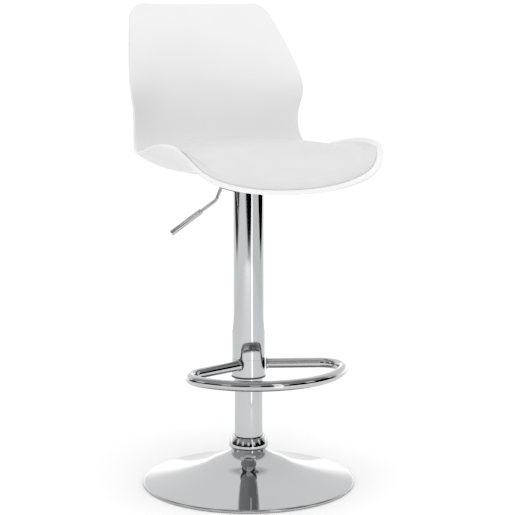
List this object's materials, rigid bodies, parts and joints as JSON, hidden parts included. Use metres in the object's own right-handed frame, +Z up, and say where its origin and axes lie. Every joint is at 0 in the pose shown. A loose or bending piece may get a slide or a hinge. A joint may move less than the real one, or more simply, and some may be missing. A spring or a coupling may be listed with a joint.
{
  "type": "adjustable swivel stool",
  "caption": "Height-adjustable swivel bar stool with a moulded shell seat and back, seat pad, footrest hoop, lift lever and trumpet base.",
  "frame": {"origin": "the column's axis at floor level, under the base", "axes": "+Z up along the column, -Y to the stool's front, -X to the sitter's right"},
  "size_m": [0.4, 0.4978, 0.9006],
  "materials": {
    "chrome_plate": "bright chrome plate",
    "zinc_steel": "zinc plated",
    "black_steel": "black powder coat",
    "ballast_iron": "as cast",
    "black_rubber": "matt",
    "bush_plastic": "moulded",
    "piston_alloy": "machined",
    "shell_plastic": "moulded, satin white",
    "pad_leather": "white leather-look cover",
    "board_wood": "plywood"
  },
  "bodies": {
    "base": {"base_trumpet": "chrome_plate", "base_collar_ring": "chrome_plate", "base_hub": "black_steel", "hub_bolts": "zinc_steel", "weight_plate": "ballast_iron", "floor_ring": "black_rubber", "column_tube": "chrome_plate", "tube_end_plate": "zinc_steel", "guide_bush": "bush_plastic", "thrust_washer_lower": "zinc_steel", "thrust_balls": "zinc_steel", "thrust_cage": "bush_plastic"},
    "rod": {"thrust_washer_upper": "zinc_steel", "piston_rod": "zinc_steel", "rod_clip": "zinc_steel", "rod_buffer": "black_rubber", "piston": "piston_alloy", "piston_ring": "black_rubber", "piston_nut": "zinc_steel"},
    "seat": {"gas_cylinder": "black_steel", "cylinder_end_cap": "piston_alloy", "rod_seal": "black_rubber", "valve_body": "piston_alloy", "taper_socket": "black_steel", "cover_sleeve": "chrome_plate", "sleeve_top_ring": "bush_plastic", "sleeve_bottom_bush": "bush_plastic", "footrest_hoop": "chrome_plate", "footrest_collar": "chrome_plate", "footrest_screws": "zinc_steel", "seat_plate": "black_steel", "mechanism_channel": "black_steel", "lever_pivot_pin": "zinc_steel", "seat_bolts": "zinc_steel", "bolt_washers": "zinc_steel", "threaded_inserts": "zinc_steel", "seat_shell": "shell_plastic", "pad_board": "board_wood", "pad_screws": "zinc_steel", "seat_pad": "pad_leather"},
    "lever": {"lever_cam": "black_steel", "lever_rod": "chrome_plate", "lever_grip": "chrome_plate"},
    "pin": {"release_pin": "zinc_steel"}
  },
  "joints": [
    {"name": "seat_swivel", "type": "hinge", "parent": "base", "child": "rod", "pos_m": [0, 0, 0.0215], "axis": [0, 0, 1], "continuous": true},
    {"name": "height_lift", "type": "slide", "parent": "rod", "child": "seat", "axis": [0, 0, 1], "range_m": [0, 0.21]},
    {"name": "lever_pivot", "type": "hinge", "parent": "seat", "child": "lever", "pos_m": [-0.03, 0, 0.5708], "axis": [0, 1, 0], "range_deg": [0, 5], "stiffness_Nm_per_rad": 1.5, "springref_deg": -5.73},
    {"name": "release_pin", "type": "slide", "parent": "seat", "child": "pin", "axis": [0, 0, -1], "range_m": [0, 0.003]}
  ],
  "couplings": [
    {"joint": "release_pin", "follows": "lever_pivot", "m_per_rad": 0.0325}
  ]
}
